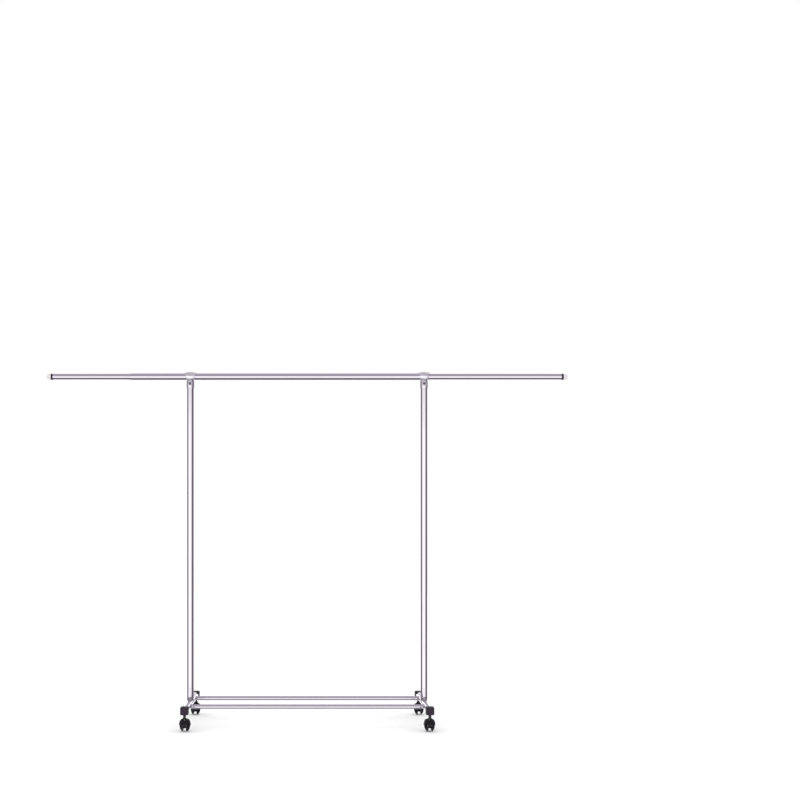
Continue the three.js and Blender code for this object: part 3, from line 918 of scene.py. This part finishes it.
def connector(side, size):
    """Saddle, neck, cup and screw boss in one casting, bored for the bar and the post."""
    node, screw = f"connector_{side}", f"post_screw_{side}"
    low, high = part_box(node)
    centre = Vector((middle(node).x, bar_axis().y, bar_axis().z))
    tube = tube_radius()
    fit, waist_wall, lip, round_over = 0.08 * MM, 0.4 * MM, 0.6 * MM, 0.7 * MM
    half, crown = half_size(node).x, high.z - centre.z
    cup, waist = tube + size.cup_wall, tube + waist_wall
    rim, shoulder = low.z - centre.z, -(tube + size.web)
    taper_start, taper_length, steps = shoulder - 2 * MM, 11 * MM, 10
    taper = [
        (waist + (cup - waist) * smooth(1 - i / steps), taper_start + taper_length * i / steps)
        for i in range(steps + 1)
    ]
    neck = turned("z", centre, [
        (0, rim), *arc(cup - lip, rim + lip, lip, -90, 0), *taper, (waist, 0), (0, 0),
    ], CASTING_FACETS)
    drop = Vector((centre.x, centre.y, middle(screw).z))
    face, root = low.y - centre.y, -tube / 2
    boss_radius = size.boss_radius
    flared, flare_start, flare_end = boss_radius + 1 * MM, -cup + 0.6 * MM, -cup + 2.4 * MM
    boss = turned("y", drop, [
        (0, face), *arc(boss_radius - round_over, face + round_over, round_over, -90, 0),
        (boss_radius, flare_start), (flared, flare_end), (flared, root), (0, root),
    ], BOSS_FACETS)
    body = combined(saddle(centre, size, half, crown, waist), "UNION", neck, boss)
    head, grub = half_size(screw).z, half_size(f"bar_screw_{side}").x
    return combined(
        body, "DIFFERENCE",
        rod("x", centre, tube + fit, -half - PAST, half + PAST, CASTING_FACETS),
        rod("z", centre, tube + fit, rim - PAST, shoulder, CASTING_FACETS),
        rod("y", drop, head + 2 * fit, face - PAST, face + size.boss_recess, BOSS_FACETS),
        rod("y", drop, head / 2 + 2 * fit, face - PAST, 0, GRUB_FACETS),
        rod("y", centre, grub + 2 * fit, 0, crown + PAST, GRUB_FACETS),
    )


def grub_screw(node):
    """Headless screw with a hexagon socket in its outer end."""
    centre, half = middle(node), half_size(node)
    socket_radius, socket_depth = 0.62 * half.z, 2 * MM
    screw = pin("y", centre, half.z, half.y, 0.35 * MM, GRUB_FACETS)
    socket = rod("y", centre, socket_radius, half.y - socket_depth, half.y + PAST, HEXAGON)
    return combined(screw, "DIFFERENCE", socket)


class RACK_OT_connectors(Operator):
    """Cast connectors between the bar and the posts, with their screws"""

    bl_idname = "rack.connectors"
    bl_label = "Connectors"

    def execute(self, context):
        size = context.scene.rack_fittings
        head_height = 3 * MM
        for side, _ in SIDES:
            piece(f"connector_{side}", connector(side, size), chrome_casting())
            node = f"post_screw_{side}"
            screw = button_head(node, "y", -1, head_height, size.screw_socket)
            piece(node, screw, dark_steel())
            node = f"bar_screw_{side}"
            piece(node, grub_screw(node), zinc_steel())
        return {"FINISHED"}


class RACK_OT_rail_bolts(Operator):
    """Bolts through the feet into the rails"""

    bl_idname = "rack.rail_bolts"
    bl_label = "Rail Bolts"

    def execute(self, context):
        size = context.scene.rack_fittings
        head_height = 3.5 * MM
        for corner in CORNERS:
            node = f"rail_bolt_{corner}"
            way = 1 if middle(node).x > 0 else -1
            bolt = button_head(node, "x", way, head_height, size.screw_socket)
            piece(node, bolt, zinc_steel())
        return {"FINISHED"}


# ------------------------------------------------------------------ end blocks


def rounded_rectangle(half_width, half_height, corner, steps=6):
    """Outline as (x, z) points, anticlockwise from the right-hand side."""
    points = []
    for turn, (sx, sz) in enumerate(((1, 1), (-1, 1), (-1, -1), (1, -1))):
        for i in range(steps + 1):
            angle = math.pi / 2 * (turn + i / steps)
            points.append((
                sx * (half_width - corner) + corner * math.cos(angle),
                sz * (half_height - corner) + corner * math.sin(angle),
            ))
    return points


def end_block(corner, size):
    """Moulded block on the end of a foot, its spigot in the tube and a blind hole for the stem."""
    node, stem_node = f"end_block_{corner}", f"caster_stem_{corner}"
    low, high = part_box(node)
    centre, half, stem_axis = middle(node), half_size(node), middle(stem_node)
    way = -1 if centre.y < 0 else 1
    inner_end, face = (low.y, high.y) if way > 0 else (high.y, low.y)
    depth = 2 * abs(face - stem_axis.y)
    centre.y = 0
    edge, border = size.block_edge, size.panel_border
    slope, rim, least_corner = 0.5 * MM, 0.3 * MM, 0.6 * MM
    seam, groove, back = depth - 8 * MM, 0.35 * MM, 0.6 * MM
    rows = [(size.panel_depth, border + slope), (0, border), (0, border - rim)]
    rows += [(d, -i) for i, d in arc(-edge, edge, edge, 270, 360)]
    rows += [
        (seam - groove, 0), (seam, groove), (seam + groove, groove), (seam + 2 * groove, 0),
        (depth - back, 0), (depth - 0.3 * back, 0.3 * back), (depth, back),
    ]
    outlines = [[centre + Vector((0, face - way * size.panel_depth, 0))]]
    for d, inset in rows:
        corner_radius = max(size.block_corner - inset, least_corner)
        flat = rounded_rectangle(half.x - inset, half.z - inset, corner_radius)
        outlines.append([centre + Vector((x, face - way * d, z)) for x, z in flat])
    outlines.append([centre + Vector((0, face - way * depth, 0))])
    fit = 0.1 * MM
    spigot_radius = tube_radius() - bpy.context.scene.rack_tubing.post_wall - fit
    spigot = rod("y", centre, spigot_radius, stem_axis.y, inner_end, PIN_FACETS)
    collar, chamfer, foot, root = 7.4 * MM, 0.4 * MM, 8.2 * MM, 1 * MM
    seat = Vector((stem_axis.x, stem_axis.y, low.z))
    ring = turned("z", seat, [
        (0, -BLOCK_COLLAR), (collar - chamfer, -BLOCK_COLLAR), (collar, -BLOCK_COLLAR + chamfer),
        (foot, 0), (foot, root), (0, root),
    ], PIN_FACETS)
    body = combined(skinned(outlines), "UNION", spigot, ring)
    hole_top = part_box(stem_node)[1].z - low.z + 2 * fit
    hole = rod("z", seat, half_size(stem_node).x + fit, -2 * PAST, hole_top, PIN_FACETS)
    return combined(body, "DIFFERENCE", hole)


class RACK_OT_end_blocks(Operator):
    """Moulded blocks at the ends of the feet"""

    bl_idname = "rack.end_blocks"
    bl_label = "End Blocks"

    def execute(self, context):
        size = context.scene.rack_fittings
        for corner in CORNERS:
            piece(f"end_block_{corner}", end_block(corner, size), plastic("block"))
        return {"FINISHED"}


# ------------------------------------------------------------------ casters


def stem(corner, size):
    """Stem with a collar against the block and another on the hood."""
    node = f"caster_stem_{corner}"
    low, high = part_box(node)
    neck, collar = half_size(node).x, half_size(node).x + size.collar
    play, thick, edge = 0.2 * MM, 1.4 * MM, 0.3 * MM
    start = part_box(f"caster_hood_{corner}")[1].z + play
    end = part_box(f"end_block_{corner}")[0].z - BLOCK_COLLAR
    base = middle(node)
    base.z = 0
    return turned("z", base, [
        (0, low.z), (size.pin_radius - edge, low.z), (size.pin_radius, low.z + edge),
        (size.pin_radius, start), (collar - edge, start), (collar, start + edge),
        (collar, start + thick - edge), (collar - edge, start + thick),
        (neck, start + thick), (neck, end - thick), (collar - edge, end - thick),
        (collar, end - thick + edge), (collar, end - edge), (collar - edge, end), (neck, end),
        (neck, high.z - edge), (neck - edge, high.z), (0, high.z),
    ], size.facets)


def wheel(node, axle, size):
    """Domed wheel with a flat running band, a hollow inner face and a ring round its hub."""
    way = 1 if middle(node).x > axle.x else -1
    inner, tip = sorted(abs(end.x - axle.x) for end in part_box(node))
    radius = axle.z
    band = inner + size.tread
    bulge = tip - band

    def dome(r):
        return band + bulge * (1 - (r / radius) ** size.wheel_fullness) ** (
            1 / size.wheel_fullness
        )

    edge, bore, bore_depth = 0.7 * MM, 2.6 * MM, 4 * MM
    hub, hub_root, hollow_rim, rim_root, hollow = 6.4 * MM, 6.8 * MM, 16.2 * MM, 15.4 * MM, 2.2 * MM
    ring, ring_gap, sink, plate = 11 * MM, 0.5 * MM, 0.4 * MM, 8 * MM
    wall, floor, lip = 0.25 * MM, 0.95 * MM, 1.3 * MM
    cap, cap_slope, cap_rise, cap_tip = 4.2 * MM, 0.5 * MM, 0.25 * MM, 0.2 * MM
    slope = [radius * math.cos(math.pi / 2 * (i / 9) ** 1.2) for i in range(10)]
    return turned("x", axle, [
        (0, tip - bore_depth), (bore, tip - bore_depth), (bore, inner), (hub, inner),
        (hub_root, inner + hollow), (rim_root, inner + hollow), (hollow_rim, inner),
        *arc(radius - edge, inner + edge, edge, -90, 0),
        *[(r, dome(r)) for r in slope if r > ring + ring_gap],
        (ring, dome(ring)), (ring - wall, dome(ring) - sink),
        (ring - floor, dome(ring - floor - wall) - sink), (ring - lip, dome(ring - lip)),
        (plate, dome(plate)), (cap + cap_slope, dome(cap)), (cap, dome(cap) + cap_rise),
        (0.5 * cap, dome(0.5 * cap) + cap_rise), (0, tip + cap_tip),
    ], size.facets, way=way)


def wheel_room(axle, way, size, wheel_tip, radius):
    """Space that a wheel and its play take out of the hood."""
    band = size.web_half + size.tread
    dome = [(r, (band + along) * way) for along, r in quarter(wheel_tip - band, radius, 2.0, 12)]
    return turned("x", axle, [(0, size.web_half * way), (radius, size.web_half * way), *dome])


def fender(axle, half, radius, size):
    right = [(r, along) for along, r in quarter(half, radius, size.hood_squareness, 20)]
    left = [(r, -along) for r, along in reversed(right[1:])]
    return turned("x", axle, [*left, *right], size.facets)


def hood(corner, axle, stem_axis, size):
    """Fender over both wheels on a centre web, with a bead along its lower edge."""
    node = f"caster_hood_{corner}"
    half, top = half_size(node).x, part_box(node)[1].z
    toward = 1 if stem_axis.y > axle.y else -1
    offset = abs(axle.y - stem_axis.y)
    arc_centre = axle + Vector((0, 0, size.rim_rise + size.rim_arc))
    wide = 2 * half
    trim = rod("x", arc_centre, size.rim_arc, -wide, wide, RIM_FACETS)
    inner_trim = rod("x", arc_centre, size.rim_arc - size.bead_height, -wide, wide, RIM_FACETS)
    shell = combined(fender(axle, half, size.hood_radius, size), "INTERSECT", trim)
    bead = fender(axle, half + size.bead, size.hood_radius + size.bead, size)
    bead = combined(combined(bead, "INTERSECT", trim), "DIFFERENCE", inner_trim)
    seat = Vector((stem_axis.x, stem_axis.y, 0))
    flare, skirt_drop, skirt_rise, steps = 2.6 * MM, 3 * MM, 5 * MM, 6
    boss_height, edge = 14 * MM, 0.6 * MM
    skirt_foot = axle.z + math.sqrt(size.hood_radius**2 - offset**2) - skirt_drop
    turns = [math.pi / 2 * i / steps for i in range(steps + 1)]
    boss = turned("z", seat, [
        (0, top - boss_height), (size.boss_radius, top - boss_height),
        *[(size.boss_radius + flare * (1 - math.sin(turn)),
           skirt_foot + skirt_rise * (1 - math.cos(turn))) for turn in turns],
        *arc(size.boss_radius - edge, top - edge, edge, 0, 90, 4), (0, top),
    ])
    side_wall, front_wall, web_foot = 0.9 * MM, 1.6 * MM, 4 * MM
    rooms = [
        wheel_room(axle, way, size, half - side_wall, axle.z + size.wheel_play) for way in (-1, 1)
    ]
    body = combined(combined(shell, "UNION", bead, boss), "DIFFERENCE", *rooms)
    web = rod("x", axle, size.web_radius, -size.web_half, size.web_half)
    front = offset + size.pin_radius + front_wall
    reach = sorted((axle.y + toward * front, axle.y - toward * size.web_radius))
    upright = block(
        Vector((axle.x - size.web_half, reach[0], axle.z + web_foot)),
        Vector((axle.x + size.web_half, reach[1], 2 * axle.z)),
    )
    pin_play, axle_play, hole_past = 0.2 * MM, 0.15 * MM, 0.3 * MM
    axle_radius = half_size(f"caster_axle_{corner}").z + axle_play
    hole_foot = top - boss_height - hole_past
    return combined(
        combined(body, "UNION", web, upright), "DIFFERENCE",
        rod("z", seat, size.pin_radius + pin_play, hole_foot, top + PAST, PIN_FACETS),
        rod("x", axle, axle_radius, -wide, wide, PIN_FACETS),
    )


class RACK_OT_casters(Operator):
    """Stems, hoods, axles and twin wheels of the four casters"""

    bl_idname = "rack.casters"
    bl_label = "Casters"

    def execute(self, context):
        size = context.scene.rack_casters
        chamfer = 0.4 * MM
        for corner in CORNERS:
            axle_node, stem_node = f"caster_axle_{corner}", f"caster_stem_{corner}"
            axle, half = middle(axle_node), half_size(axle_node)
            piece(stem_node, stem(corner, size), black_steel())
            cover = hood(corner, axle, middle(stem_node), size)
            shown = [piece(f"caster_hood_{corner}", cover, plastic("caster"))]
            axle_pin = pin("x", axle, half.z, half.x, chamfer, PIN_FACETS)
            piece(axle_node, axle_pin, zinc_steel())
            for side, _ in SIDES:
                node = f"wheel_{side}_{corner}"
                disc = wheel(node, axle, size)
                shown.append(piece(node, disc, plastic("caster")))
            for part in shown:
                bpy.data.collections[LAMP_LIT].objects.link(part)
        return {"FINISHED"}


# ------------------------------------------------------------------ studio


def studio_tent(tree, direction):
    """Reflected surroundings: bright front and rear panels, dark sides, grey ceiling."""
    x, y, z = put(tree, "ShaderNodeSeparateXYZ", {0: direction}).outputs
    around = maths(tree, "ARCTAN2", x, maths(tree, "MULTIPLY", y, -1.0))
    place = maths(tree, "MULTIPLY_ADD", around, 0.5 / math.pi, 0.5)
    dark, dim, pale = (0.104, 0.086, 0.112), (0.30, 0.27, 0.32), (0.96, 0.95, 0.98)
    walls = ramp(tree, place, [
        (0.00, pale), (0.055, pale), (0.085, dim), (0.17, (0.20, 0.175, 0.21)), (0.25, dark),
        (0.292, dark), (0.332, pale), (0.435, pale), (0.455, (1, 1, 1)), (0.585, (1, 1, 1)),
        (0.62, (0.58, 0.56, 0.60)), (0.672, dark), (0.790, dark), (0.845, dim), (0.930, dim),
        (0.955, pale), (1.00, pale),
    ])
    height = maths(tree, "MULTIPLY_ADD", z, 0.5, 0.5)
    tiers = ramp(tree, height, [
        (0.00, (0.125, 0.108, 0.135)), (0.10, (0.110, 0.094, 0.120)), (0.165, pale),
        (0.41, pale), (0.435, (1, 1, 1)), (0.545, (1, 1, 1)), (0.585, (0.58, 0.555, 0.60)),
        (0.65, (0.315, 0.285, 0.335)), (0.80, (0.285, 0.255, 0.305)),
        (0.88, (0.385, 0.355, 0.40)), (1.0, (0.35, 0.32, 0.37)),
    ])
    steep = remapped(tree, maths(tree, "ABSOLUTE", z), 0.50, 0.80)
    darkest = mixed(tree, 1.0, tiers, walls, "DARKEN")
    return mixed(tree, steep, darkest, tiers)


def background(tree, rgba, strength):
    return put(tree, "ShaderNodeBackground", {"Color": rgba, "Strength": strength}).outputs[0]


def studio_world(studio):
    """Even white room for matt surfaces, and the tent for what mirrors it."""
    world = bpy.data.worlds.new("Studio")
    world.use_nodes = True
    tree = world.node_tree
    tree.nodes.clear()
    direction = put(tree, "ShaderNodeTexCoord").outputs["Generated"]
    rays = put(tree, "ShaderNodeLightPath").outputs
    white = (1.0, 1.0, 1.0, 1)
    tent = background(tree, studio_tent(tree, direction), studio.tent)
    room = background(tree, white, studio.room)
    backdrop = background(tree, white, 1.0)
    lit = put(tree, "ShaderNodeMixShader", {0: rays["Is Glossy Ray"], 1: room, 2: tent}).outputs[0]
    seen = put(tree, "ShaderNodeMixShader", {0: rays["Is Camera Ray"], 1: lit, 2: backdrop})
    put(tree, "ShaderNodeOutputWorld", {"Surface": seen.outputs[0]})
    return world


def floor_paint(tree, shader, rgb):
    """Matt paint with the faintest mottle."""
    mottle = noise(tree, places(tree), 6.0, 4.0, 0.6)
    feed(
        tree, shader, Specular_IOR_Level=0.1,
        Base_Color=mixed(tree, mottle, tint(rgb, 0.995), tint(rgb, 1.005)),
        Roughness=maths(tree, "MULTIPLY_ADD", mottle, 0.1, 0.82),
    )


class RACK_OT_studio(Operator):
    """Camera, world, lamp and floor"""

    bl_idname = "rack.studio"
    bl_label = "Studio"

    def execute(self, context):
        scene = context.scene
        studio = scene.rack_studio
        camera = bpy.data.objects.new("camera", bpy.data.cameras.new("camera"))
        camera.data.lens = studio.lens
        camera.data.sensor_width = 36.0
        camera.data.shift_x = studio.shift_right
        camera.data.shift_y = studio.shift_up
        camera.location = (0, -studio.distance, studio.height)
        camera.rotation_euler = (math.radians(90), 0, 0)
        scene.collection.objects.link(camera)
        scene.camera = camera
        scene.view_settings.view_transform = "Standard"
        scene.world = studio_world(studio)

        lamp_size, behind, above, tilt = 0.45, 0.3, 0.35, math.radians(84)
        lamp = bpy.data.objects.new("front_lamp", bpy.data.lights.new("front_lamp", "AREA"))
        lamp.data.shape = "DISK"
        lamp.data.size = lamp_size
        lamp.data.energy = studio.lamp
        lamp.location = (0, -studio.distance - behind, studio.height + above)
        lamp.rotation_euler = (tilt, 0, 0)
        lamp.light_linking.receiver_collection = bpy.data.collections.new(LAMP_LIT)
        scene.collection.objects.link(lamp)

        rings, facets = 4, 64
        rows = [
            circle("z", Vector((0, 0, 0)), studio.floor_radius * k / rings, 0, facets)
            for k in range(rings + 1)
        ]
        floor = bpy.data.objects.new("floor", skinned(rows))
        floor.data.materials.append(finish("Floor Paint", floor_paint, studio.floor))
        floor.visible_glossy = False
        scene.collection.objects.link(floor)
        return {"FINISHED"}


# ------------------------------------------------------------------ add-on


class RACK_PT_sidebar(Panel):
    """Every step of the rack, in building order"""

    bl_idname = "RACK_PT_sidebar"
    bl_label = "Clothes Rack"
    bl_space_type = "VIEW_3D"
    bl_region_type = "UI"
    bl_category = "Clothes Rack"

    def draw(self, context):
        for operator in OPERATORS:
            self.layout.operator(operator.bl_idname)
        for name in SETTINGS:
            group_box = self.layout.box()
            settings = getattr(context.scene, name)
            for key in settings.__annotations__:
                group_box.prop(settings, key)


SETTINGS = {
    "rack_tubing": RackTubing,
    "rack_fittings": RackFittings,
    "rack_casters": RackCasters,
    "rack_finish": RackFinish,
    "rack_studio": RackStudio,
}
OPERATORS = (
    RACK_OT_studio,
    RACK_OT_bar,
    RACK_OT_bar_ends,
    RACK_OT_connectors,
    RACK_OT_posts,
    RACK_OT_feet,
    RACK_OT_rail_bolts,
    RACK_OT_end_blocks,
    RACK_OT_casters,
)


def register():
    for made in (*SETTINGS.values(), *OPERATORS, RACK_PT_sidebar):
        bpy.utils.register_class(made)
    for name, settings in SETTINGS.items():
        setattr(bpy.types.Scene, name, PointerProperty(type=settings))


def unregister():
    for name in SETTINGS:
        delattr(bpy.types.Scene, name)
    for made in (RACK_PT_sidebar, *reversed(OPERATORS), *SETTINGS.values()):
        bpy.utils.unregister_class(made)


def main():
    register()
    for operator in OPERATORS:
        getattr(bpy.ops.rack, operator.bl_idname.split(".")[1])()


if __name__ == "__main__":
    main()
